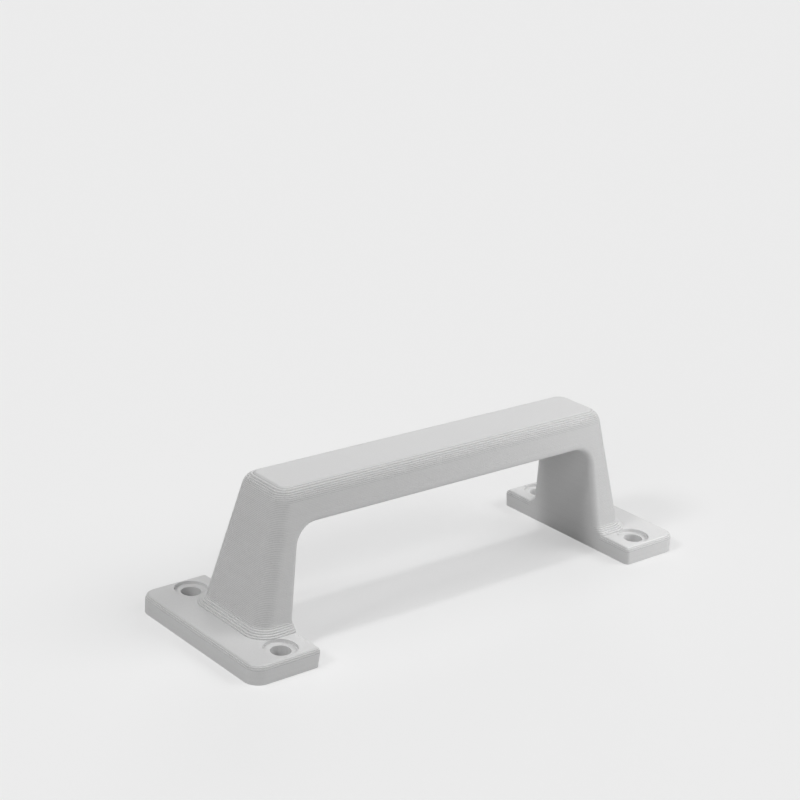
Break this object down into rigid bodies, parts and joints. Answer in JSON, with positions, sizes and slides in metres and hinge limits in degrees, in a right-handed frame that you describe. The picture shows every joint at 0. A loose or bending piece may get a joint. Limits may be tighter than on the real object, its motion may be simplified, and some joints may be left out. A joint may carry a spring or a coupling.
{
  "type": "garage door handle",
  "caption": "Printed pull handle: a leaning arched grip on two flat end plates, with recessed screw holes for fixing to a door.",
  "frame": {"origin": "middle of the footprint, on the underside of the plates, where they meet the door", "axes": "+X along the grip from one plate to the other, +Y across the grip, +Z out of the door towards the hand"},
  "size_m": [0.148, 0.05, 0.0405],
  "materials": {
    "printed_plastic": "matte light grey, layer printed"
  },
  "bodies": {
    "root": {"handle": "printed_plastic"}
  },
  "joints": []
}
